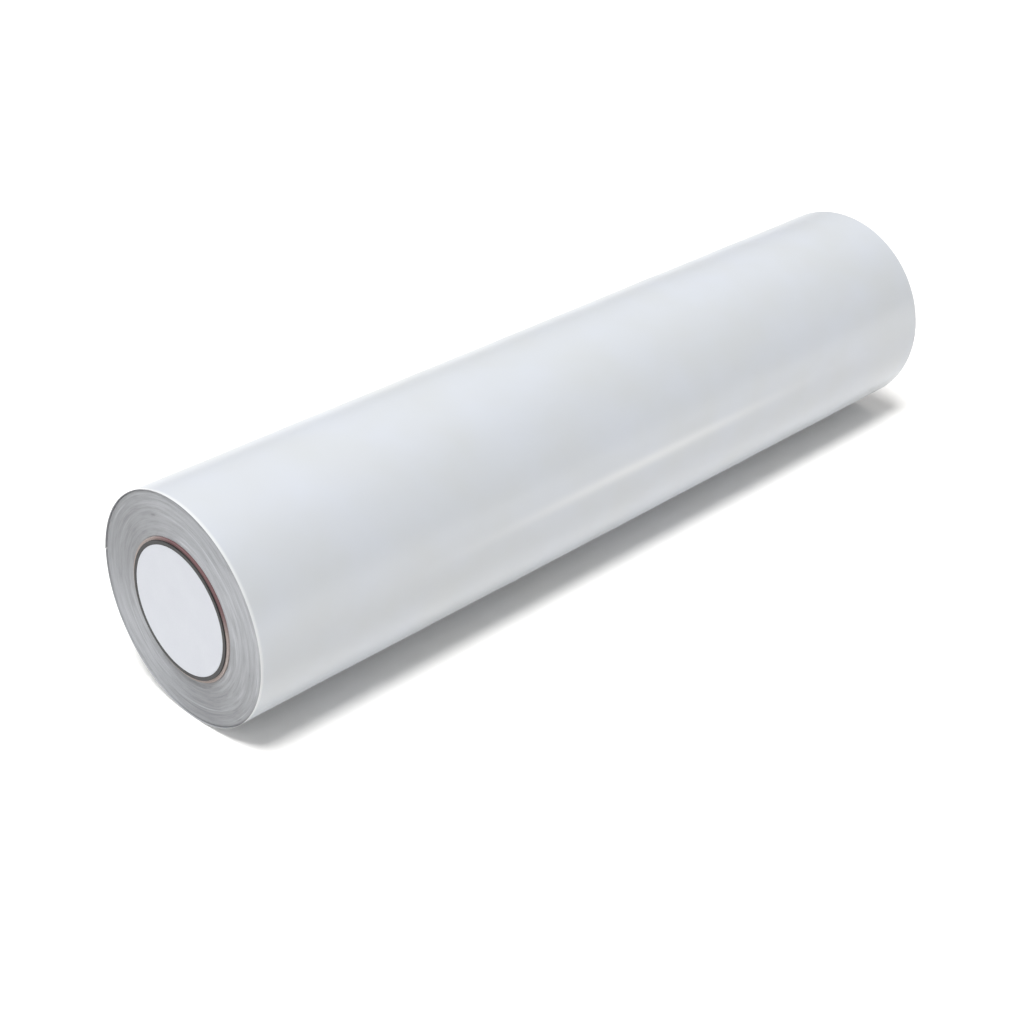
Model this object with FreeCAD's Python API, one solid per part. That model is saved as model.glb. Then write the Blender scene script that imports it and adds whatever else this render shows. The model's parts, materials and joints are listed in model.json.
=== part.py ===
"""Roll of self-adhesive sign vinyl: a 24 in wide web wound face out on a 3 in paper core, with a push-in plug
and a round blank label at each end.

Frame: millimetres. The roll lies on its side, its axis along X and its lowest line on the plane Z = 0. The
origin is at the middle of the roll's length, on that plane and under the axis. Left is -X and right is +X.

Angles around the roll are in degrees, from +Y towards +Z. The web's loose tail hangs down the +Y side: a
wrap angle is counted back along the web from the tail's cut edge, which is the same sense.
"""
import FreeCAD, Part
import math
import os

from FreeCAD import Vector

# --- The web ---
WEB_WIDTH = 610.0
ROLL_RADIUS = 72.9  # at the tail's cut edge
FILM = 0.080  # white face film
ADHESIVE = 0.025  # grey blockout adhesive
LINER = 0.125  # siliconed paper liner, on the inside of each turn
WEB = FILM + ADHESIVE + LINER
OUTER_TURN_SHIFT = 0.5  # the last turn has wandered this far to the left

# --- The paper core ---
CORE_BORE_RADIUS = 38.1
CORE_RADIUS = 44.45
CORE_STANDS_PROUD = 0.8  # past the web's edge, at each end
MIDDLE_PLIES = 5
INNER_PLY = 0.95
OTHER_PLY = (CORE_RADIUS - CORE_BORE_RADIUS - INNER_PLY) / (MIDDLE_PLIES + 1)
MOUTH_DEPTH = 30.0  # how far in the plugs have flared the bore
MOUTH_FLARE = 0.4  # on the radius, at the mouth

# --- The tape that holds the web's first edge to the core ---
START_TAPE = 0.10
START_TAPE_WIDTH = 25.0
START_TAPE_LENGTH = 600.0
START_TAPE_ANGLE = 200.0

# --- The loose tail and the tabs that hold it down ---
TAIL_EDGE_ANGLE = 8.0
TAIL_SWEEP = 30.0  # from the cut edge back to the line where the tail bends
TAIL_GAP = 0.05  # between the tail and what it lies on
TAIL_SPLIT = 0.10  # between the tail and the rest of its turn
TAB = 0.06
TAB_WIDTH = 25.0  # along the roll
TAB_ON_TAIL = 22.0
TAB_ON_ROLL = 26.0
TAB_RAMP = 2.0  # over the step at the cut edge
TAB_PLACES = {"left": -240.0, "middle": 0.0, "right": 240.0}

# --- The plugs ---
PLUG_CLEARANCE = 0.05
FLANGE_RADIUS = 42.8
FLANGE = 0.8
FLANGE_ROUNDING = 0.25
LABEL_RADIUS = 40.3
LABEL = 0.20
LABEL_RECESS = 0.30
LABEL_GAP = 0.15  # between the label's edge and the recess's
PLUG_DISC = 1.8
SLEEVE_LENGTH = 26.0
SLEEVE_WALL = 1.8
SLEEVE_LEAD_IN = 0.8
CRUSH_RIBS = 12
CRUSH_RIB_WIDTH = 2.4
CRUSH_RIB_HEIGHT = 0.6
BOSS_RADIUS = 9.0
BOSS_WALL = 1.8
BOSS_LENGTH = 15.0
STIFFENERS = 6
STIFFENER = 1.5
STIFFENER_LENGTH = 12.0

# --- Worked out from the dimensions above ---
CORE_LENGTH = WEB_WIDTH + 2 * CORE_STANDS_PROUD
QUARTER_DROP = WEB / 4  # how much the spiral's radius falls in a quarter of a turn
FULL_TURN = 360.0
ARC_STEP = 5.0  # thin layers are drawn in arcs this long, so that their faces line up through the layers


def direction(angle):
    """The unit vector at an angle around the roll."""
    return Vector(0, math.cos(math.radians(angle)), math.sin(math.radians(angle)))


# The spiral of the last turn is four quarter circles, each tangent to the next, about the corners of a
# small square round the roll's axis.
_up = direction(TAIL_EDGE_ANGLE + 90)
_over = direction(TAIL_EDGE_ANGLE + 180)
_first = (_up + _over) * (-QUARTER_DROP / 2)
SPIRAL_CENTRES = [_first, _first + _up * QUARTER_DROP, _first + (_up + _over) * QUARTER_DROP,
                  _first + _over * QUARTER_DROP]
SPIRAL_RADIUS = ROLL_RADIUS - QUARTER_DROP / 2

BOTTOM_QUARTER = int((270 - TAIL_EDGE_ANGLE) // 90)
AXIS_HEIGHT = SPIRAL_RADIUS - BOTTOM_QUARTER * QUARTER_DROP - SPIRAL_CENTRES[BOTTOM_QUARTER].z


def spiral_point(quarter, wrap_angle, depth):
    """The point at a wrap angle, on one quarter of the spiral, that far under the last turn's outer face."""
    radius = SPIRAL_RADIUS - quarter * QUARTER_DROP - depth
    return SPIRAL_CENTRES[quarter] + direction(TAIL_EDGE_ANGLE + wrap_angle) * radius


def arcs(point_at, start, end):
    """Short arcs through the points that point_at(low, angle) gives, from one angle to a larger one.

    low is the angle that the arc starts at."""
    steps = range(int(start // ARC_STEP) + 1, math.ceil(end / ARC_STEP))
    angles = [start] + [step * ARC_STEP for step in steps] + [end]
    edges = []
    for low, high in zip(angles, angles[1:]):
        points = [point_at(low, angle) for angle in (low, (low + high) / 2, high)]
        edges.append(Part.Arc(*points).toShape())
    return edges


def spiral_edges(start, end, depth):
    """The arcs of the spiral from one wrap angle to a larger one, that far under the outer face."""
    return arcs(lambda low, angle: spiral_point(int(low // 90), angle, depth), start, end)


def edge_ends(edges):
    """The first and last point of a run of edges."""
    return edges[0].Vertexes[0].Point, edges[-1].Vertexes[-1].Point


def closed_face(*runs):
    """A flat face whose outline is these runs of edges, joined by straight lines."""
    edges = []
    for run in runs:
        edges += run
    outline = []
    for i, run in enumerate(runs):
        following = runs[(i + 1) % len(runs)]
        ends, next_ends = edge_ends(run), edge_ends(following)
        here, there = (ends[1], next_ends[1]) if i % 2 == 0 else (ends[0], next_ends[0])
        if here.distanceToPoint(there) > 1e-7:
            outline.append(Part.makeLine(here, there))
    return Part.Face(Part.Wire(Part.__sortEdges__(edges + outline)))


def across(face, left, right):
    """The solid that a face on the plane X = 0 sweeps from X = left to X = right."""
    face.translate(Vector(left, 0, 0))
    return face.extrude(Vector(right - left, 0, 0))


def web_layer(start, end, outer_depth, inner_depth):
    """One layer of the last turn, between two wrap angles and two depths under its outer face."""
    face = closed_face(spiral_edges(start, end, outer_depth), spiral_edges(start, end, inner_depth))
    left = -WEB_WIDTH / 2 - OUTER_TURN_SHIFT
    return across(face, left, left + WEB_WIDTH)


def tube(inner, outer, length):
    """A plain tube round the roll's axis, centred along it."""
    start = Vector(-length / 2, 0, 0)
    along = Vector(1, 0, 0)
    return Part.makeCylinder(outer, length, start, along).cut(Part.makeCylinder(inner, length, start, along))


def turned(outline):
    """The solid that an outline of (x, radius) points sweeps round the roll's axis."""
    points = [Vector(x, radius, 0) for x, radius in outline]
    face = Part.Face(Part.makePolygon(points + points[:1]))
    return face.revolve(Vector(0, 0, 0), Vector(1, 0, 0), FULL_TURN)


def raised(shape):
    """The shape at its place in the frame, with the roll's axis at its height above the floor."""
    shape.translate(Vector(0, 0, AXIS_HEIGHT))
    return shape


# --- Core ---

def core_plies():
    """The seven tubes of board that are wound and glued on each other, by name, from the bore outwards."""
    end, middle = CORE_LENGTH / 2, CORE_LENGTH / 2 - MOUTH_DEPTH
    radius = CORE_BORE_RADIUS + INNER_PLY
    mouth = CORE_BORE_RADIUS + MOUTH_FLARE
    plies = {"core_inner_ply": turned([
        (-end, mouth), (-middle, CORE_BORE_RADIUS), (middle, CORE_BORE_RADIUS), (end, mouth),
        (end, radius), (-end, radius),
    ])}
    for number in range(2, MIDDLE_PLIES + 2):
        plies[f"core_middle_ply_{number}"] = tube(radius, radius + OTHER_PLY, CORE_LENGTH)
        radius += OTHER_PLY
    plies["core_outer_ply"] = tube(radius, CORE_RADIUS, CORE_LENGTH)
    return plies


def start_tape():
    """The double-sided tape along the core, under the web's first edge."""
    sweep = math.degrees(START_TAPE_WIDTH / CORE_RADIUS)
    start, end = START_TAPE_ANGLE - sweep / 2, START_TAPE_ANGLE + sweep / 2

    def face_edges(radius):
        return arcs(lambda low, angle: direction(angle) * radius, start, end)

    face = closed_face(face_edges(CORE_RADIUS), face_edges(CORE_RADIUS + START_TAPE))
    return across(face, -START_TAPE_LENGTH / 2, START_TAPE_LENGTH / 2)


# --- Web ---

def wound_turns():
    """Every turn of the web under the last one, with the step where the last turn begins."""
    outline = spiral_edges(0, FULL_TURN, WEB)
    first, last = edge_ends(outline)
    face = Part.Face(Part.Wire(Part.__sortEdges__(outline + [Part.makeLine(last, first)])))
    turns = across(face, -WEB_WIDTH / 2, WEB_WIDTH / 2)
    bore = Part.makeCylinder(CORE_RADIUS, WEB_WIDTH, Vector(-WEB_WIDTH / 2, 0, 0), Vector(1, 0, 0))
    return turns.cut(bore).cut(start_tape())


def last_turn():
    """The three layers of the last turn, up to the line where the tail begins."""
    start = TAIL_SWEEP + math.degrees(TAIL_SPLIT / ROLL_RADIUS)
    return {
        "film_outer_turn": web_layer(start, FULL_TURN, 0, FILM),
        "adhesive_outer_turn": web_layer(start, FULL_TURN, FILM, FILM + ADHESIVE),
        "liner_outer_turn": web_layer(start, FULL_TURN, FILM + ADHESIVE, WEB),
    }


def tail():
    """The three layers of the tail, which lies just clear of the turn beneath it."""
    lift = -TAIL_GAP
    return {
        "film_tail": web_layer(0, TAIL_SWEEP, lift, lift + FILM),
        "adhesive_tail": web_layer(0, TAIL_SWEEP, lift + FILM, lift + FILM + ADHESIVE),
        "liner_tail": web_layer(0, TAIL_SWEEP, lift + FILM + ADHESIVE, lift + WEB),
    }


def closure_tabs():
    """The short tapes that hold the tail down, by name. Each runs over the cut edge onto the roll."""
    on_tail = math.degrees(TAB_ON_TAIL / ROLL_RADIUS)
    on_roll = math.degrees(TAB_ON_ROLL / ROLL_RADIUS)
    ramp = math.degrees(TAB_RAMP / ROLL_RADIUS)

    def path(depth):
        over_tail = spiral_edges(0, on_tail, depth - TAIL_GAP)
        over_roll = spiral_edges(FULL_TURN - on_roll, FULL_TURN - ramp, depth - TAIL_GAP)
        step = Part.makeLine(edge_ends(over_roll)[1], edge_ends(over_tail)[0])
        return over_roll + [step] + over_tail

    tabs = {}
    for side, place in TAB_PLACES.items():
        face = closed_face(path(-TAB), path(0))
        tabs[f"closure_tab_{side}"] = across(face, place - TAB_WIDTH / 2, place + TAB_WIDTH / 2)
    return tabs


# --- Plugs ---

def mouth_radius(depth):
    """The bore's radius that far inside the core's end."""
    return CORE_BORE_RADIUS + MOUTH_FLARE * (1 - depth / MOUTH_DEPTH)


def plug():
    """The left-hand plug: a flange with a recess for the label, and a ribbed sleeve that grips the bore."""
    end = -CORE_LENGTH / 2
    back = end - PLUG_CLEARANCE
    front = back - FLANGE
    recess = front + LABEL_RECESS
    disc_back = recess + PLUG_DISC
    recess_radius = LABEL_RADIUS + LABEL_GAP

    def grip(depth):
        return mouth_radius(depth) - PLUG_CLEARANCE

    def skin(depth):
        return grip(depth) - CRUSH_RIB_HEIGHT

    tip = SLEEVE_LENGTH
    body = turned([
        (recess, 0), (recess, recess_radius), (front, recess_radius), (front, FLANGE_RADIUS),
        (back, FLANGE_RADIUS), (back, skin(0)), (end + tip - SLEEVE_LEAD_IN, skin(tip)),
        (end + tip, skin(tip) - SLEEVE_LEAD_IN), (end + tip, skin(tip) - SLEEVE_WALL),
        (disc_back, skin(0) - SLEEVE_WALL), (disc_back, 0),
    ])
    rounded = [edge for edge in body.Edges if is_circle_at(edge, front, FLANGE_RADIUS)]
    body = body.makeFillet(FLANGE_ROUNDING, rounded)

    ring = turned([
        (back, skin(0) - SLEEVE_WALL / 2), (back, grip(0)), (end + tip - 2 * SLEEVE_LEAD_IN, grip(tip)),
        (end + tip - SLEEVE_LEAD_IN / 2, skin(tip) - SLEEVE_WALL / 2),
    ])
    bar = Part.makeBox(SLEEVE_LENGTH + 2, CRUSH_RIB_WIDTH, CORE_BORE_RADIUS + 2,
                       Vector(back, -CRUSH_RIB_WIDTH / 2, 0))
    ribs = [ring.common(turned_by(bar, i * FULL_TURN / CRUSH_RIBS)) for i in range(CRUSH_RIBS)]

    inside = disc_back - PLUG_DISC / 2
    along = Vector(1, 0, 0)
    boss = Part.makeCylinder(BOSS_RADIUS, BOSS_LENGTH, Vector(inside, 0, 0), along)
    hollow = Part.makeCylinder(BOSS_RADIUS - BOSS_WALL, BOSS_LENGTH, Vector(disc_back, 0, 0), along)
    reach = skin(STIFFENER_LENGTH) - SLEEVE_WALL / 2 - BOSS_RADIUS + BOSS_WALL / 2
    blade = Part.makeBox(STIFFENER_LENGTH, STIFFENER, reach,
                         Vector(inside, -STIFFENER / 2, BOSS_RADIUS - BOSS_WALL / 2))
    blades = [turned_by(blade, i * FULL_TURN / STIFFENERS) for i in range(STIFFENERS)]
    return body.multiFuse(ribs + [boss] + blades).cut(hollow).removeSplitter()


def is_circle_at(edge, x, radius):
    """Whether an edge is the circle of that radius round the roll's axis, at that X."""
    curve = edge.Curve
    return isinstance(curve, Part.Circle) and abs(curve.Radius - radius) < 1e-6 and abs(curve.Center.x - x) < 1e-6


def turned_by(shape, angle):
    """A copy of the shape, turned round the roll's axis."""
    copy = shape.copy()
    copy.rotate(Vector(0, 0, 0), Vector(1, 0, 0), angle)
    return copy


def plug_label():
    """The left-hand plug's round label, in the flange's recess."""
    back = -CORE_LENGTH / 2 - PLUG_CLEARANCE - FLANGE + LABEL_RECESS
    return Part.makeCylinder(LABEL_RADIUS, LABEL, Vector(back - LABEL, 0, 0), Vector(1, 0, 0))


def at_right(shape):
    """A left-hand piece, turned round to the right-hand end."""
    copy = shape.copy()
    copy.rotate(Vector(0, 0, 0), Vector(0, 0, 1), 180)
    return copy


def nodes():
    """Every piece by its node's name."""
    pieces = core_plies()
    pieces["core_start_tape"] = start_tape()
    pieces["wound_turns"] = wound_turns()
    pieces.update(last_turn())
    pieces.update(tail())
    pieces.update(closure_tabs())
    left_plug, left_label = plug(), plug_label()
    pieces["left_plug"], pieces["left_plug_label"] = left_plug, left_label
    pieces["right_plug"], pieces["right_plug_label"] = at_right(left_plug), at_right(left_label)
    return pieces


def main():
    os.makedirs("parts", exist_ok=True)
    for name, shape in nodes().items():
        shape = raised(shape)
        shape.exportStep(f"parts/{name}.step")
        valid = shape.isValid() and all(solid.isClosed() for solid in shape.Solids)
        print(f"{name}: {len(shape.Solids)} solid(s), {shape.Volume:.0f} mm3, {'valid' if valid else 'INVALID'}")
    hinge = spiral_point(0, TAIL_SWEEP, -TAIL_GAP) + Vector(0, 0, AXIS_HEIGHT)
    print(f"axis height {AXIS_HEIGHT:.4f}; tail hinge at Y {hinge.y:.4f}, Z {hinge.z:.4f}")
    print(f"bore wall {CORE_LENGTH - 2 * MOUTH_DEPTH:.2f} long; plug face at X "
          f"{-CORE_LENGTH / 2 - PLUG_CLEARANCE - FLANGE:.3f}")


main()
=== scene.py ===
"""The looks of the roll of sign vinyl, in the CAD's frame: metres, its axis along X, the floor at Z = 0.

Angles around the roll are in radians, from +Y towards +Z. A wrap angle is counted back along the web from
the tail's cut edge, in the same sense. A depth is measured inwards from the last turn's outer face.
"""
import bpy
import bmesh
import json
import math
import numpy as np
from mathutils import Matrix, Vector


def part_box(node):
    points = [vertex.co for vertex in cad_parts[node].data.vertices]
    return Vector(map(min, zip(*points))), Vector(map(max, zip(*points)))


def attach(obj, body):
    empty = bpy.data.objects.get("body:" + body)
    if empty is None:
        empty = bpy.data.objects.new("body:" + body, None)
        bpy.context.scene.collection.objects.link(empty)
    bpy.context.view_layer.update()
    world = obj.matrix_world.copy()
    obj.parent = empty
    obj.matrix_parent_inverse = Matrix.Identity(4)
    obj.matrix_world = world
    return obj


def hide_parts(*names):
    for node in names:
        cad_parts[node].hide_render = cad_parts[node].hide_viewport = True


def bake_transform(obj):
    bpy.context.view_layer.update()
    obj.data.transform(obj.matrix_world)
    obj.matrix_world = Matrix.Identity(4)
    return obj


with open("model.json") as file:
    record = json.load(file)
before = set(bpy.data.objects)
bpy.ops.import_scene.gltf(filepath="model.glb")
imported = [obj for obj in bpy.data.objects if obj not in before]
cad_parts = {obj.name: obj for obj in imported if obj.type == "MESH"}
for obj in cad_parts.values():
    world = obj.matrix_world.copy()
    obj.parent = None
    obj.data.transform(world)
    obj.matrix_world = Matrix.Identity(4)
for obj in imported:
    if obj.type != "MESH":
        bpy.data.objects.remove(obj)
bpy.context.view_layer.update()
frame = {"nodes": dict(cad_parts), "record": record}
MM = 0.001
TURN = 2 * math.pi

# --- Sizes that the CAD fixes ---
BORE = next(m for m in frame["record"]["mounts"] if m["name"] == "core_bore_left")
AXIS_Z = BORE["pos_m"][2]
BORE_RADIUS = BORE["dims"]["r_mm"] * MM
CORE_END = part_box("core_outer_ply")[1].x
CORE_RADIUS = 44.45 * MM
PACK_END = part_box("wound_turns")[1].x
LAST_TURN_LEFT, LAST_TURN_RIGHT = (corner.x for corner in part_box("film_outer_turn"))
ROLL_RADIUS = 72.9 * MM
FILM, ADHESIVE, LINER = 0.080 * MM, 0.025 * MM, 0.125 * MM
WEB = FILM + ADHESIVE + LINER
TAIL_EDGE = math.radians(8)
TAIL_SWEEP = math.radians(30)
TAIL_SPLIT = 0.10 * MM
TAIL_GAP = 0.05 * MM
MOUTH_FLARE, MOUTH_DEPTH = 0.4 * MM, 30 * MM
INNER_PLY = 0.95 * MM
MIDDLE_PLIES = 5
TAB, TAB_WIDTH = 0.06 * MM, 25 * MM
TAB_ON_TAIL, TAB_ON_ROLL, TAB_RAMP = 22 * MM, 26 * MM, 2 * MM
TAB_SPACING = 240 * MM
LABEL_RADIUS = (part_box("left_plug_label")[1].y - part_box("left_plug_label")[0].y) / 2


# --- Building meshes ---

def make_object(name, mesh, material):
    mesh.validate()
    mesh.shade_smooth()
    mesh.materials.append(material)
    piece = bpy.data.objects.new(name, mesh)
    bpy.context.scene.collection.objects.link(piece)
    return piece


def grid_faces(rows, columns, close_rows=False, close_columns=False):
    """The quads of a grid of points that are numbered row by row."""
    i = np.arange(rows if close_rows else rows - 1)
    j = np.arange(columns if close_columns else columns - 1)
    a, b = np.meshgrid(i, j, indexing="ij")
    c, d = (a + 1) % rows, (b + 1) % columns
    quads = np.stack([a * columns + b, c * columns + b, c * columns + d, a * columns + d], axis=-1)
    return quads.reshape(-1, 4).tolist()


def mesh_from(name, points, faces):
    mesh = bpy.data.meshes.new(name)
    mesh.from_pydata(points.reshape(-1, 3).tolist(), [], faces)
    return mesh


def set_values(mesh, name, values):
    """Stores a number at every point of a mesh, for its material to read."""
    mesh.attributes.new(name, "FLOAT", "POINT").data.foreach_set("value", values.astype(np.float32).ravel())


def tidy(mesh, sharp_degrees=35, distance=1e-7):
    """Joins doubled points, turns every face outwards and marks the sharp edges."""
    bm = bmesh.new()
    bm.from_mesh(mesh)
    bmesh.ops.remove_doubles(bm, verts=bm.verts, dist=distance)
    bmesh.ops.dissolve_degenerate(bm, edges=bm.edges, dist=distance)
    bmesh.ops.recalc_face_normals(bm, faces=bm.faces)
    sharp = math.radians(sharp_degrees)
    for edge in bm.edges:
        edge.smooth = len(edge.link_faces) == 2 and edge.calc_face_angle() < sharp
    bm.to_mesh(mesh)
    bm.free()
    return mesh


def around(x, radius, angle):
    """Points in the frame from a place along the roll, a radius and an angle about its axis."""
    x, radius, angle = np.broadcast_arrays(x, radius, angle)
    return np.stack([x, radius * np.cos(angle), AXIS_Z + radius * np.sin(angle)], axis=-1)


def lathe(name, outline, material, segments=192, closed=True):
    """A piece turned about the roll's axis from an outline of (x, radius) points."""
    outline = np.array(outline)
    angle = np.arange(segments)[:, None] * TURN / segments
    points = around(outline[None, :, 0], outline[None, :, 1], angle)
    faces = grid_faces(segments, len(outline), close_rows=True, close_columns=closed)
    return make_object(name, tidy(mesh_from(name, points, faces)), material)


# --- The web's shape ---

CREASE_ANGLE = math.radians(175.9)
CREASE_WIDTH, CREASE_LENGTH = 3.6 * MM, 115 * MM
CREASE_MIDDLE = 10 * MM


def crease(angle, x):
    """A long soft crease down the -Y side, from 0 away from it to 1 along its middle."""
    across = (angle % TURN - CREASE_ANGLE) * ROLL_RADIUS / CREASE_WIDTH
    along = (x - CREASE_MIDDLE) / CREASE_LENGTH
    return np.exp(-across ** 2 - along ** 2)


def waviness(angle, x):
    """How far the wound web stands off a true spiral: soft bands, slacker patches and a crease."""
    bands = 0.05 * np.sin(61 * x + 0.6) + 0.035 * np.sin(143 * x + 2.1 + 0.6 * np.sin(angle))
    patches = 0.05 * np.sin(2 * angle + 9 * x) + 0.04 * np.sin(3 * angle - 23 * x + 1.3)
    fine = 0.012 * np.sin(5 * angle + 71 * x + 0.7 * np.sin(33 * x))
    return (bands + patches + fine + 0.13 * crease(angle, x) - 0.20) * MM


def web_radius(wrap, x, depth):
    """The radius about the roll's axis at a wrap angle, a place along the roll and a depth."""
    return ROLL_RADIUS - WEB * wrap / TURN - depth + waviness(TAIL_EDGE + wrap, x)


def edge_lift(wrap, x):
    """How far the tail stands off the turn under it: a little at its cut edge, between the tabs."""
    share = np.clip(1 - wrap / TAIL_SWEEP, 0, 1)
    between_tabs = 0.5 - 0.5 * np.cos(x * TURN / TAB_SPACING)
    return TAIL_GAP + 0.35 * MM * share ** 3 * between_tabs


def sheet_mesh(name, wraps, places, outer, inner, material):
    """A closed sheet wrapped on the roll. outer and inner turn grids of wrap angle and place into radii.

    Its "crease" attribute tells the film where to put a painted highlight along the crease."""
    w, x = np.meshgrid(wraps, places, indexing="ij")
    top = around(x, outer(w, x), TAIL_EDGE + w)
    under = around(x, inner(w, x), TAIL_EDGE + w)[:, ::-1]
    points = np.concatenate([top, under], axis=1)
    columns = 2 * len(places)
    faces = grid_faces(len(wraps), columns, close_columns=True)
    for row in (0, len(wraps) - 1):
        for j in range(len(places) - 1):
            faces.append([row * columns + k for k in (j, j + 1, columns - 2 - j, columns - 1 - j)])
    mesh = mesh_from(name, points, faces)
    # The crease's shape, which the film turns into a painted highlight.
    painted_highlight = crease(TAIL_EDGE + w, x)
    set_values(mesh, "crease", np.concatenate([painted_highlight, painted_highlight[:, ::-1]], axis=1))
    return make_object(name, tidy(mesh), material)


LAYERS = {"film": (0, FILM), "adhesive": (FILM, FILM + ADHESIVE), "liner": (FILM + ADHESIVE, WEB)}
TAIL_STIFF_SHARE = 0.45  # a share of the tail's sweep, counted from its cut edge


def make_last_turn(materials):
    """The three layers of the last turn and of its tail."""
    start = TAIL_SWEEP + TAIL_SPLIT / ROLL_RADIUS
    for layer, (top, bottom) in LAYERS.items():
        fine = layer == "film"
        turn_places = np.linspace(LAST_TURN_LEFT, LAST_TURN_RIGHT, 81 if fine else 41)
        turn = sheet_mesh(
            f"{layer}_last_turn", np.linspace(start, TURN, 331), turn_places,
            lambda w, x: web_radius(w, x, top), lambda w, x: web_radius(w, x, bottom), materials[layer])
        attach(turn, "roll")
        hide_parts(f"{layer}_outer_turn")
        tail_places = np.linspace(LAST_TURN_LEFT, LAST_TURN_RIGHT, 161 if fine else 81)
        tail = sheet_mesh(
            f"{layer}_loose_tail", np.linspace(0, TAIL_SWEEP, 61), tail_places,
            lambda w, x: web_radius(w, x, top) + edge_lift(w, x),
            lambda w, x: web_radius(w, x, bottom) + edge_lift(w, x), materials[layer])
        bend_end = around(0, ROLL_RADIUS, TAIL_EDGE + TAIL_SWEEP * TAIL_STIFF_SHARE)
        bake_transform(tail)
        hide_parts(f"{layer}_tail")


def make_tabs(material):
    """The tabs that hold the tail down, each from the tail over its cut edge onto the roll."""
    for side, place in (("left", -TAB_SPACING), ("middle", 0.0), ("right", TAB_SPACING)):
        on_roll = np.linspace(-TAB_ON_ROLL, -TAB_RAMP, 25) / ROLL_RADIUS
        on_tail = np.linspace(0, TAB_ON_TAIL, 23) / ROLL_RADIUS
        wraps = np.concatenate([on_roll, on_tail])

        def underside(w, x):
            on_turn = web_radius(w + TURN, x, 0) + TAIL_GAP
            on_flap = web_radius(w, x, 0) + edge_lift(w, x) + 0.01 * MM
            return np.where(w < 0, on_turn, on_flap)

        places = np.linspace(place - TAB_WIDTH / 2, place + TAB_WIDTH / 2, 9)
        tab = sheet_mesh(
            f"tab_{side}", wraps, places, lambda w, x: underside(w, x) + TAB, underside, material)
        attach(tab, "tail")
        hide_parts(f"closure_tab_{side}")


# --- The wound turns and their edges ---

def window(angle, middle, span):
    """1 at a middle angle, falling smoothly to 0 on both sides of it."""
    offset = (angle - middle + math.pi) % TURN - math.pi
    return np.exp(-(offset / span) ** 2)


def wandering(turn, angle, seed):
    """Turns that wandered sideways in winding: 0 for a true turn, about 1 for one that stands out.

    They lie in short broken arcs that drift across the turns, most of them in a few busy places."""
    random = np.random.default_rng(seed)
    swirl = turn + 2.0 * np.sin(3 * angle + 0.09 * turn) + 1.2 * np.sin(7 * angle - 0.16 * turn + seed)
    total = np.zeros_like(turn)
    for busy, spread, count in ARC_PLACES:
        for _ in range(count):
            centre = random.uniform(6, TURNS - 5)
            width = random.uniform(0.9, 3.0)
            drift = random.normal(0, 5)
            middle = random.normal(busy, spread)
            offset = (angle - middle + math.pi) % TURN - math.pi
            across = (swirl - centre - drift * offset) / width
            height = random.choice([-0.7, 0.8, 1.3]) * random.uniform(0.4, 1.1)
            total += height * np.exp(-across ** 2) * window(angle, middle, random.uniform(0.08, 0.45))
    return total


def near_edge(turn, turns):
    """1 at a turn that ends the wound web, falling to 0 within the given number of turns."""
    return np.exp(-(turn / turns) ** 2)


def edge_relief(turn, wander):
    """How far each turn's edge stands out of the roll's end. The first and last few turns sit back."""
    return (0.13 * wander - 0.55 * near_edge(turn, 2.4) - 0.25 * near_edge(TURNS - turn, 1.5) - 0.16) * MM


def edge_tone_and_light(turn, angle, wander, seed):
    """How light each turn's edge is painted: a painted highlight where it stands out, painted shade in the
    groove inside the rim, a painted highlight on the turns next to the core, and darker at nicks.

    A painted sheen goes round the end in two light and two dark sectors, with painted shade low down."""
    # Painted highlight where a turn stands out, painted shade in the groove inside the rim, painted
    # highlight on the turns next to the core.
    tone = 1.01 + 0.21 * wander - 0.20 * near_edge(turn, 2.6) + 0.10 * near_edge(TURNS - turn, 2.5)
    # Painted sheen in two light and two dark sectors round the end, and painted shade low down.
    tone += 0.115 * np.cos(2 * (angle - SHEEN_ANGLE)) + 0.08 * np.cos(angle - SHEEN_ANGLE)
    tone += 0.05 * np.cos(3 * (angle - 1.4)) - 0.07 * window(angle, LOW_SHADE_ANGLE, 0.44)
    random = np.random.default_rng(seed + 1)
    middles, centres = random.uniform(0, TURN, NICKS), random.uniform(10, TURNS - 10, NICKS)
    for middle, centre in zip(middles, centres):
        tone -= 0.30 * near_edge(turn - centre, 2.0) * window(angle, middle, 0.03)
    return tone - 0.45 * near_edge(turn - SPECK_TURN, 2.5) * window(angle, SPECK_ANGLE, 0.035)


TURNS = (ROLL_RADIUS - WEB - CORE_RADIUS) / WEB
SHEEN_ANGLE = math.radians(143)
# Where the painted shade low down on the ends is deepest.
LOW_SHADE_ANGLE = 4.36
NICKS = 7
SPECK_ANGLE, SPECK_TURN = 1.25, 66
# Where the wandering arcs crowd: the angle, how far they spread from it, and how many there are.
ARC_PLACES = ((3.7, 0.45, 38), (5.4, 0.45, 24), (1.9, 0.5, 20), (2.9, 0.5, 18), (0.2, 0.7, 12))
WOUND_SEGMENTS = 184
GROOVE = 0.05 * MM


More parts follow.
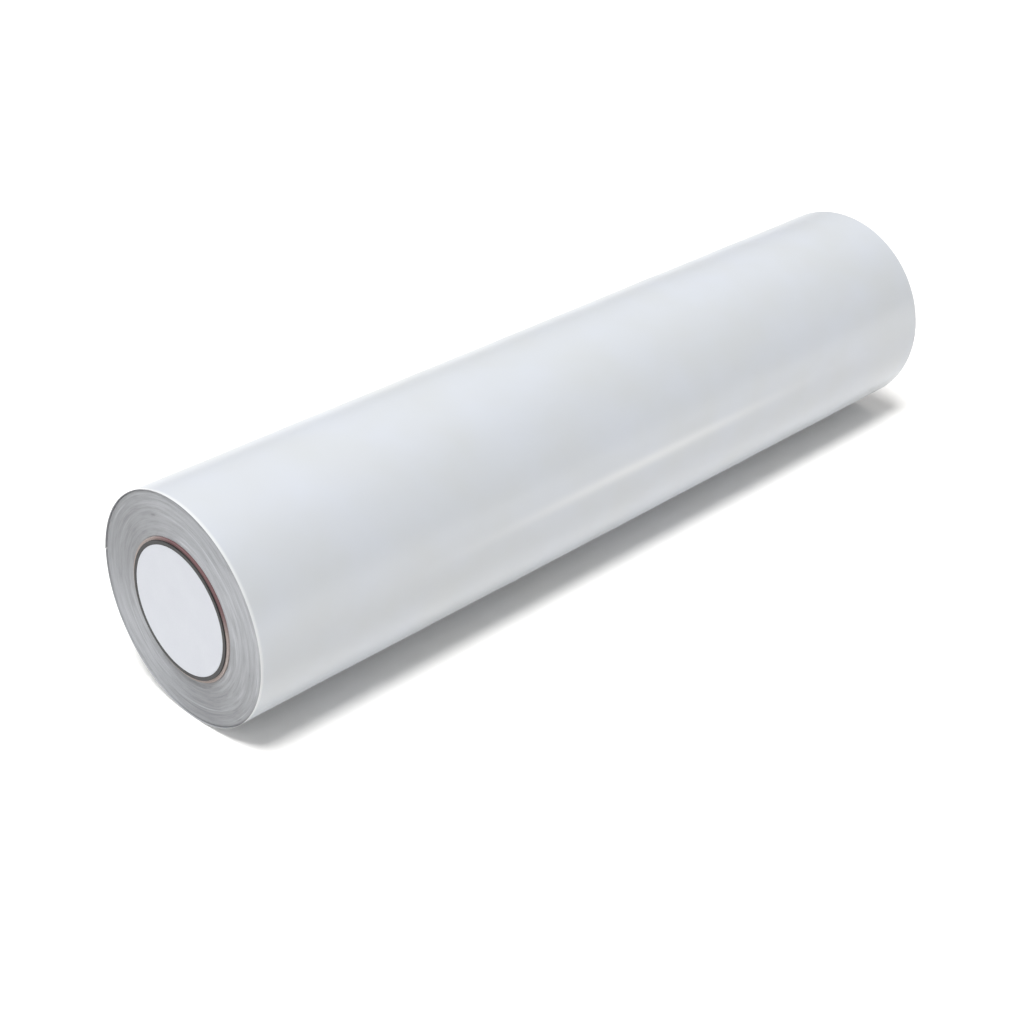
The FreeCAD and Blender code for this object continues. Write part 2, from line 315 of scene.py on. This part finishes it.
def make_wound_turns(edges, film):
    """Every turn under the last one: two ends of fine spiral edges, and the film the last turn covers."""
    steps = 2 * math.ceil(TURNS)
    wraps = np.linspace(0, TURN, WOUND_SEGMENTS + 1)
    w, half_turns = np.meshgrid(wraps, np.arange(steps + 1), indexing="ij")
    angle = TAIL_EDGE + w
    turn = half_turns / 2 + w / TURN
    radius = np.maximum(ROLL_RADIUS - WEB * (1 + turn), CORE_RADIUS)
    ridge = (half_turns % 2 == 1)
    ends, tones_and_light = [], []
    for sign, seed in ((-1, 5), (1, 11)):
        wander = wandering(turn, angle, seed)
        # Each turn's edge tone, with its painted highlights, sheen and shade.
        tones_and_light.append(edge_tone_and_light(turn, angle, wander, seed))
        out = PACK_END + edge_relief(turn, wander) + np.where(ridge, 0, -GROOVE)
        wave = waviness(angle, sign * PACK_END) * (radius - CORE_RADIUS) / (ROLL_RADIUS - CORE_RADIUS)
        ends.append(around(sign * out, radius + wave, angle))
    places = np.linspace(-PACK_END, PACK_END, 26)[1:-1]
    w_cover, x_cover = np.meshgrid(wraps, places, indexing="ij")
    cover = around(x_cover, web_radius(w_cover, x_cover, WEB), TAIL_EDGE + w_cover)
    points = np.concatenate([ends[0][:, ::-1], cover, ends[1]], axis=1)
    columns = points.shape[1]
    faces = grid_faces(WOUND_SEGMENTS + 1, columns, close_columns=True)
    outer = list(range(steps, columns - steps))
    last = WOUND_SEGMENTS * columns
    faces += [[a, b, last + b, last + a] for a, b in zip(outer, outer[1:])]
    faces += [[steps - 2, steps - 1, steps], [columns - steps - 1, columns - steps, columns - steps + 1]]
    mesh = mesh_from("wound_turns_edges", points, faces)
    for name, left, right in (("ridge", ridge, ridge), ("tone", *tones_and_light)):
        values = np.ones(points.shape[:2])
        values[:, :steps + 1] = left[:, ::-1]
        values[:, columns - steps - 1:] = right
        set_values(mesh, name, values)
    piece = make_object("wound_turns_edges", tidy(mesh), edges)
    mesh.materials.append(film)
    for face in mesh.polygons:
        covered = abs(face.center.x) < PACK_END - 2 * MM or abs(face.normal.x) < 0.2
        face.material_index = 1 if covered and abs(face.normal.x) < 0.5 else 0
    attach(piece, "roll")
    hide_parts("wound_turns")


# --- The core ---

def make_core(board):
    """The tubes of board, glued one on the next, with the inner one's seam winding along the bore."""
    outer_radii = np.linspace(BORE_RADIUS + INNER_PLY, CORE_RADIUS, MIDDLE_PLIES + 2)
    names = [f"core_middle_ply_{number + 2}" for number in range(MIDDLE_PLIES)] + ["core_outer_ply"]
    soft = 0.10 * MM
    for number, name in enumerate(names):
        inner, outer = outer_radii[number], outer_radii[number + 1]
        end = CORE_END - 0.03 * MM * (number % 3)
        half = [(end - soft, inner), (end, inner + soft), (end, outer - soft), (end - soft, outer)]
        outline = half + [(-x, r) for x, r in reversed(half)]
        ply = lathe(f"ply_{number + 2}", outline, board)
        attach(ply, "roll")
        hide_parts(name)
    ply = make_inner_ply(board)
    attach(ply, "roll")
    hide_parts("core_inner_ply")


SEAM_PITCH = 0.145
SEAM_WIDTH, SEAM_DEPTH = 0.5 * MM, 0.25 * MM
BORE_SEGMENTS = 128


def make_inner_ply(board):
    """The ply that lines the bore. Its strip's edges meet in a seam that winds along it."""
    turns = math.ceil(CORE_END / SEAM_PITCH) + 1
    steps, dips = [], []
    for number in range(-turns, turns):
        seam = number * SEAM_PITCH
        steps += [seam - SEAM_WIDTH, seam - SEAM_WIDTH / 2, seam + SEAM_WIDTH / 2, seam + SEAM_WIDTH]
        dips += [0, 1, 1, 0]
        fill = np.linspace(seam, seam + SEAM_PITCH, 15)[1:-1]
        steps += list(fill)
        dips += [0] * len(fill)
    angle = np.arange(BORE_SEGMENTS + 1)[:, None] * TURN / BORE_SEGMENTS
    x = np.clip(np.array(steps)[None, :] + SEAM_PITCH * angle / TURN, -CORE_END, CORE_END)
    inside = np.abs(x) < CORE_END
    mouth = np.clip((np.abs(x) - CORE_END + MOUTH_DEPTH) / MOUTH_DEPTH, 0, 1)
    radius = BORE_RADIUS + MOUTH_FLARE * mouth + SEAM_DEPTH * np.array(dips)[None, :] * inside
    outer = BORE_RADIUS + INNER_PLY
    rim = around(np.array([[CORE_END, -CORE_END]]), outer, angle)
    points = np.concatenate([around(x, radius, angle), rim], axis=1)
    faces = grid_faces(BORE_SEGMENTS + 1, points.shape[1], close_columns=True)
    return make_object("ply_1", tidy(mesh_from("ply_1", points, faces)), board)


# --- Plugs and labels ---

def make_label(side, sign, material):
    low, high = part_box(f"{side}_plug_label")
    front = low.x if sign < 0 else high.x
    back = high.x if sign < 0 else low.x
    soft = 0.05 * MM
    radii = np.linspace(0, LABEL_RADIUS - soft, 9)
    outline = [(front, r) for r in radii]
    outline.append((front - sign * soft * 0.5, LABEL_RADIUS - soft * 0.3))
    outline.append((front - sign * soft * 1.5, LABEL_RADIUS))
    outline += [(back, LABEL_RADIUS), (back, 0)]
    label = lathe(f"{side}_label", outline, material, closed=False)
    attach(label, f"{side}_plug")
    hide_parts(f"{side}_plug_label")


# --- Materials ---

class Nodes:
    """A material's node tree, with short calls to add nodes and join them."""

    def __init__(self, name):
        self.material = bpy.data.materials.new(name)
        self.material.use_nodes = True
        self.tree = self.material.node_tree
        self.shader = self.tree.nodes["Principled BSDF"]

    def add(self, kind, **values):
        node = self.tree.nodes.new("ShaderNode" + kind)
        for key, value in values.items():
            setattr(node, key, value)
        return node

    def join(self, source, target):
        self.tree.links.new(source, target)

    def place(self, scale=(1, 1, 1)):
        """The point being shaded, in the piece's own metres, stretched by scale."""
        coordinates = self.add("TexCoord")
        mapping = self.add("Mapping")
        mapping.inputs["Scale"].default_value = scale
        self.join(coordinates.outputs["Object"], mapping.inputs["Vector"])
        return mapping.outputs["Vector"]

    def along(self):
        """How far along the roll the point being shaded lies."""
        split = self.add("SeparateXYZ")
        self.join(self.place(), split.inputs[0])
        return split.outputs[0]

    def vectors(self, operation, vector, other=(0, 0, 0)):
        """A vector worked on with a second one that is constant."""
        node = self.add("VectorMath", operation=operation)
        node.inputs[1].default_value = other
        self.join(vector, node.inputs[0])
        return node

    def from_axis(self):
        """The way from the roll's axis straight out to the shaded point: how far, and a unit vector."""
        centred = self.vectors("SUBTRACT", self.place(), (0, 0, AXIS_Z))
        flat = self.vectors("MULTIPLY", centred.outputs[0], (0, 1, 1)).outputs[0]
        return self.vectors("LENGTH", flat).outputs["Value"], self.vectors("NORMALIZE", flat).outputs[0]

    def towards(self, angle):
        """From -1 to 1: how near the point being shaded lies to an angle around the roll."""
        outwards = self.from_axis()[1]
        return self.vectors("DOT_PRODUCT", outwards, (0, math.cos(angle), math.sin(angle))).outputs["Value"]

    def across_turns(self, across, around_scale):
        """A noise place that runs fast across the wound edges and slowly along them."""
        radius, outwards = self.from_axis()
        split = self.add("SeparateXYZ")
        self.join(self.vectors("MULTIPLY", outwards, (around_scale,) * 3).outputs[0], split.inputs[0])
        joined = self.add("CombineXYZ")
        self.join(self.maths("MULTIPLY", radius, across), joined.inputs[0])
        self.join(split.outputs[1], joined.inputs[1])
        self.join(split.outputs[2], joined.inputs[2])
        return joined.outputs[0]

    def noise(self, vector, scale, detail=4.0, roughness=0.55):
        node = self.add("TexNoise")
        node.inputs["Scale"].default_value = scale
        node.inputs["Detail"].default_value = detail
        node.inputs["Roughness"].default_value = roughness
        self.join(vector, node.inputs["Vector"])
        return node.outputs["Fac"]

    def ramp(self, value, *stops):
        """Turns a value into a colour by stops of (position, grey or colour)."""
        node = self.add("ValToRGB")
        elements = node.color_ramp.elements
        while len(elements) < len(stops):
            elements.new(0.5)
        for element, (position, colour) in zip(elements, stops):
            element.position = position
            element.color = (*colour, 1) if isinstance(colour, tuple) else (colour, colour, colour, 1)
        self.join(value, node.inputs["Fac"])
        return node.outputs["Color"]

    def mix(self, share, a, b, blend="MIX"):
        """Two colours mixed. share is a number or a socket, and so are a and b."""
        node = self.add("Mix", data_type="RGBA", blend_type=blend)
        for value, socket in ((share, 0), (a, 6), (b, 7)):
            if isinstance(value, bpy.types.NodeSocket):
                self.join(value, node.inputs[socket])
            elif isinstance(value, tuple):
                node.inputs[socket].default_value = (*value, 1)
            else:
                node.inputs[socket].default_value = value
        return node.outputs[2]

    def maths(self, operation, a, b):
        node = self.add("Math", operation=operation)
        for value, socket in ((a, 0), (b, 1)):
            if isinstance(value, bpy.types.NodeSocket):
                self.join(value, node.inputs[socket])
            else:
                node.inputs[socket].default_value = value
        return node.outputs[0]

    def bump(self, height, distance, strength=1.0, under=None):
        node = self.add("Bump")
        node.inputs["Strength"].default_value = strength
        node.inputs["Distance"].default_value = distance
        self.join(height, node.inputs["Height"])
        if under is not None:
            self.join(under, node.inputs["Normal"])
        return node.outputs["Normal"]

    def finish(self, colour, roughness, normal, **constants):
        self.join(colour, self.shader.inputs["Base Color"])
        self.join(roughness, self.shader.inputs["Roughness"])
        self.join(normal, self.shader.inputs["Normal"])
        for name, value in constants.items():
            self.shader.inputs[name.replace("_", " ")].default_value = value
        return self.material


def film_material():
    """White calendered film: semi-gloss, faintly cloudy, with a painted highlight along the near end's slit
    and along the crease.
    """
    n = Nodes("white_film")
    cloud = n.noise(n.place(), 20, detail=2)
    patch = n.noise(n.place((0.4, 1, 1)), 9, detail=2)
    base = n.ramp(cloud, (0.32, (0.590, 0.612, 0.638)), (0.68, (0.604, 0.632, 0.682)))
    tint = n.ramp(patch, (0.30, (0.985, 0.985, 0.975)), (0.70, (1.0, 1.0, 1.0)))
    body = n.mix(1.0, base, tint, "MULTIPLY")
    # Painted highlight: the film is painted whiter within a few millimetres of the near end's slit.
    from_edge = n.maths("SUBTRACT", n.along(), LAST_TURN_LEFT)
    rim_highlight = n.ramp(n.maths("DIVIDE", from_edge, 4 * MM), (0.25, 1.0), (0.60, 0.0))
    # Painted highlight along the crease, read from the crease attribute.
    crease_highlight = n.maths("MULTIPLY", n.add("Attribute", attribute_name="crease").outputs["Fac"], 0.90)
    painted_highlight = n.maths("MAXIMUM", rim_highlight, crease_highlight)
    face = n.mix(painted_highlight, body, (0.75, 0.765, 0.78))
    colour = n.mix(slit_edge(n), face, (0.36, 0.36, 0.37))
    rough = n.ramp(n.noise(n.place(), 30, detail=3), (0.35, 0.29), (0.65, 0.33))
    normal = n.bump(n.noise(n.place(), 60, detail=2), 0.000008)
    return n.finish(colour, rough, normal, IOR=1.54, Specular_IOR_Level=0.65)


def slit_edge(n, margin=0.02 * MM):
    """1 on the last turn's cut ends and on a margin of its faces beside them, 0 elsewhere."""
    middle = (LAST_TURN_LEFT + LAST_TURN_RIGHT) / 2
    half = (LAST_TURN_RIGHT - LAST_TURN_LEFT) / 2
    from_middle = n.maths("ABSOLUTE", n.maths("SUBTRACT", n.along(), middle), 0)
    return n.maths("GREATER_THAN", from_middle, half - margin)


def edge_material():
    """The slit edges of the wound web: grey adhesive between white film and paper, in short streaks, with
    painted highlights, sheen and shade on each turn's edge and painted shade in the grooves.
    """
    n = Nodes("wound_edges")
    ridge = n.add("Attribute", attribute_name="ridge")
    tone = n.add("Attribute", attribute_name="tone")
    streak = n.noise(n.across_turns(1400, 1.6), 1, detail=4, roughness=0.6)
    broad = n.noise(n.across_turns(260, 0.9), 1, detail=3)
    greys = (0.30, (0.402, 0.414, 0.439)), (0.50, (0.427, 0.439, 0.464)), (0.72, (0.472, 0.485, 0.510))
    base = n.ramp(streak, *greys)
    tint = n.ramp(broad, (0.30, 0.90), (0.70, 1.0))
    stroke = n.noise(n.across_turns(560, 3.8), 1, detail=3, roughness=0.62)
    worn = n.ramp(stroke, (0.36, 0.83), (0.50, 0.94), (0.64, 1.0))
    plain = n.mix(1.0, n.mix(1.0, base, tint, "MULTIPLY"), worn, "MULTIPLY")
    # Each turn's painted highlights, sheen and shade, from the edge tones.
    toned = n.mix(1.0, plain, tone.outputs["Color"], "MULTIPLY")
    # Painted shade: the grooves between turns are painted darker than the ridges.
    depth = n.ramp(ridge.outputs["Fac"], (0.0, 0.86), (1.0, 1.0))
    colour = n.mix(1.0, toned, depth, "MULTIPLY")
    rough = n.ramp(streak, (0.3, 0.62), (0.7, 0.48))
    normal = n.bump(streak, 0.00010, under=n.bump(n.noise(n.across_turns(5200, 9), 1, detail=2), 0.00004))
    return n.finish(colour, rough, normal)


def layer_material(name, low, high, roughness):
    """Adhesive or paper, which shows on the lifted tail's underside and as a slit edge, grey within 2 mm of
    the slit ends.
    """
    n = Nodes(name)
    cloud = n.noise(n.place(), 90, detail=4)
    colour = n.mix(slit_edge(n, 2 * MM), n.ramp(cloud, (0.30, low), (0.70, high)), (0.40, 0.41, 0.43))
    rough = n.ramp(n.noise(n.place(), 400), (0.3, roughness - 0.05), (0.7, roughness + 0.05))
    normal = n.bump(n.noise(n.place(), 1800), 0.00002)
    return n.finish(colour, rough, normal)


def board_material():
    """Pale grey-brown core board with long fibres, with painted shade down one side."""
    n = Nodes("core_board")
    fibre = n.noise(n.place((1, 3.2, 3.2)), 420, detail=6, roughness=0.7)
    patch = n.noise(n.place(), 40, detail=3)
    browns = (0.30, (0.400, 0.350, 0.330)), (0.52, (0.500, 0.450, 0.430)), (0.75, (0.620, 0.570, 0.540))
    base = n.ramp(fibre, *browns)
    tint = n.ramp(patch, (0.30, (0.85, 0.78, 0.76)), (0.70, (1.0, 1.0, 1.0)))
    plain = n.mix(1.0, base, tint, "MULTIPLY")
    # Painted shade: darker maroon on the side facing 118 degrees, broken up by the patches.
    nearness = n.maths("ADD", n.towards(math.radians(118)), n.maths("MULTIPLY", patch, 0.5))
    painted_side_shade = n.ramp(n.maths("DIVIDE", nearness, 2), (0.34, 0.0), (0.54, 1.0))
    colour = n.mix(painted_side_shade, plain, (0.180, 0.095, 0.100))
    rough = n.ramp(fibre, (0.3, 0.85), (0.7, 0.72))
    normal = n.bump(fibre, 0.00018)
    return n.finish(colour, rough, normal)


def plug_material():
    """Charcoal moulded plastic with a fine spark-eroded grain and lighter scuffs."""
    n = Nodes("plug_plastic")
    grain = n.noise(n.place(), 1500, detail=3)
    scuff = n.noise(n.place(), 130, detail=6, roughness=0.7)
    greys = (0.40, (0.018, 0.018, 0.019)), (0.66, (0.026, 0.026, 0.027)), (0.80, 0.05)
    colour = n.ramp(scuff, *greys)
    rough = n.ramp(scuff, (0.35, 0.42), (0.70, 0.58))
    normal = n.bump(grain, 0.00004)
    return n.finish(colour, rough, normal)


def label_material():
    """Matt label stock of a pale lavender grey, with paper tooth."""
    n = Nodes("label_paper")
    cloud = n.noise(n.place(), 55, detail=4)
    fibre = n.noise(n.place(), 900, detail=5, roughness=0.65)
    base = n.ramp(cloud, (0.30, (0.645, 0.666, 0.720)), (0.70, (0.668, 0.690, 0.741)))
    tint = n.ramp(fibre, (0.30, 0.975), (0.70, 1.0))
    colour = n.mix(1.0, base, tint, "MULTIPLY")
    rough = n.ramp(fibre, (0.3, 0.72), (0.7, 0.60))
    normal = n.bump(fibre, 0.00004)
    return n.finish(colour, rough, normal)


def tape_material():
    """Clear tape, very slightly yellowed, with draw lines along it."""
    n = Nodes("clear_tape")
    lines = n.noise(n.place((900, 12, 12)), 1, detail=3)
    colour = n.ramp(lines, (0.3, (0.68, 0.68, 0.65)), (0.7, (0.76, 0.76, 0.73)))
    rough = n.ramp(lines, (0.3, 0.14), (0.7, 0.24))
    normal = n.bump(lines, 0.00002)
    material = n.finish(colour, rough, normal, Alpha=0.38)
    material.surface_render_method = "BLENDED"
    return material


def start_tape_material():
    """The double-sided tape under the first turn, sealed inside the roll."""
    return layer_material("start_tape", (0.62, 0.60, 0.50), (0.70, 0.68, 0.58), 0.5)


def floor_material():
    """A plain white table, lit a little from inside, which softens the roll's shadow."""
    n = Nodes("floor")
    cloud = n.noise(n.place(), 3, detail=2)
    colour = n.ramp(cloud, (0.3, (0.960, 0.950, 0.930)), (0.7, (0.965, 0.955, 0.935)))
    rough = n.ramp(cloud, (0.3, 0.75), (0.7, 0.8))
    normal = n.bump(n.noise(n.place(), 300), 0.00002)
    n.shader.inputs["Emission Color"].default_value = (1, 1, 1, 1)
    return n.finish(colour, rough, normal, Emission_Strength=FLOOR_GLOW)


# --- Studio ---

CAMERA_AZIMUTH = math.radians(-44.73)
CAMERA_ELEVATION = math.radians(29.80)
CAMERA_FROM_NEAR_END = 14.386 * ROLL_RADIUS  # in front of the camera, to the middle of the near end
NEAR_END_RIGHT, NEAR_END_DOWN = -2.556 * ROLL_RADIUS, 0.758 * ROLL_RADIUS
LENS, SENSOR_WIDTH = 65.5, 36


def make_camera():
    azimuth, elevation = CAMERA_AZIMUTH, CAMERA_ELEVATION
    back = Vector((math.sin(azimuth) * math.cos(elevation), -math.cos(azimuth) * math.cos(elevation),
                   math.sin(elevation)))
    right = Vector((math.cos(azimuth), math.sin(azimuth), 0))
    down = (-back).cross(right)
    near_end = Vector((-PACK_END, 0, AXIS_Z))
    data = bpy.data.cameras.new("camera")
    data.lens = LENS
    data.sensor_width = SENSOR_WIDTH
    camera = bpy.data.objects.new("camera", data)
    camera.location = near_end + back * CAMERA_FROM_NEAR_END - right * NEAR_END_RIGHT - down * NEAR_END_DOWN
    camera.rotation_mode = "QUATERNION"
    camera.rotation_quaternion = (-back).to_track_quat("-Z", "Y")
    bpy.context.scene.collection.objects.link(camera)
    bpy.context.scene.camera = camera


SUN_STRENGTH = 2.8
SUN_FROM = Vector((-0.28, -0.20, 1.0))
SUN_SIZE = math.radians(18)
SKY_CENTRE = Vector((-0.05, 0.60, 1.0)).normalized()  # towards the middle of the bright ceiling
SKY_LOW, SKY_HIGH = 0.11, 0.86  # how bright the studio is at its walls and at that middle
FLOOR_GLOW = 0.08
FLOOR_REACH = 12.0  # how far the floor goes to each side


def make_sun():
    """The key: one large soft light overhead."""
    data = bpy.data.lights.new("key", "SUN")
    data.energy = SUN_STRENGTH
    data.angle = SUN_SIZE
    light = bpy.data.objects.new("key", data)
    light.rotation_mode = "QUATERNION"
    light.rotation_quaternion = SUN_FROM.to_track_quat("Z", "Y")
    bpy.context.scene.collection.objects.link(light)


def make_sky():
    """A studio with a bright ceiling and dim walls, behind a plain white backdrop."""
    world = bpy.data.worlds.new("studio")
    world.use_nodes = True
    tree = world.node_tree
    coordinates = tree.nodes.new("ShaderNodeTexCoord")
    nearness = tree.nodes.new("ShaderNodeVectorMath")
    nearness.operation = "DOT_PRODUCT"
    nearness.inputs[1].default_value = SKY_CENTRE
    tree.links.new(coordinates.outputs["Generated"], nearness.inputs[0])
    height = tree.nodes.new("ShaderNodeMapRange")
    height.interpolation_type = "SMOOTHSTEP"
    height.inputs["From Min"].default_value = 0.25
    height.inputs["From Max"].default_value = 0.95
    height.inputs["To Min"].default_value = SKY_LOW
    height.inputs["To Max"].default_value = SKY_HIGH
    tree.links.new(nearness.outputs["Value"], height.inputs["Value"])
    tree.links.new(height.outputs["Result"], tree.nodes["Background"].inputs["Strength"])
    backdrop = tree.nodes.new("ShaderNodeBackground")
    seen = tree.nodes.new("ShaderNodeLightPath")
    choose = tree.nodes.new("ShaderNodeMixShader")
    tree.links.new(seen.outputs["Is Camera Ray"], choose.inputs[0])
    tree.links.new(tree.nodes["Background"].outputs[0], choose.inputs[1])
    tree.links.new(backdrop.outputs[0], choose.inputs[2])
    tree.links.new(choose.outputs[0], tree.nodes["World Output"].inputs["Surface"])
    for background in (backdrop, tree.nodes["Background"]):
        background.inputs["Color"].default_value = (1, 1, 1, 1)
    bpy.context.scene.world = world


def make_studio():
    reach = FLOOR_REACH
    corners = np.array([(-reach, -reach, 0), (reach, -reach, 0), (reach, reach, 0), (-reach, reach, 0)])
    make_object("floor", mesh_from("floor", corners, [(0, 1, 2, 3)]), floor_material())
    make_sun()
    make_sky()
    bpy.context.scene.view_settings.view_transform = "Standard"


def main():
    board = board_material()
    film = film_material()
    layers = {
        "film": film,
        "adhesive": layer_material("grey_adhesive", (0.26, 0.27, 0.29), (0.32, 0.33, 0.35), 0.5),
        "liner": layer_material("liner_paper", (0.62, 0.61, 0.57), (0.70, 0.69, 0.65), 0.6),
    }
    make_last_turn(layers)
    make_tabs(tape_material())
    make_wound_turns(edge_material(), film)
    make_core(board)
    label = label_material()
    make_label("left", -1, label)
    make_label("right", 1, label)
    plug = plug_material()
    for side in ("left", "right"):
        frame["nodes"][f"{side}_plug"].data.materials[0] = plug
    frame["nodes"]["core_start_tape"].data.materials[0] = start_tape_material()
    make_camera()
    make_studio()


main()
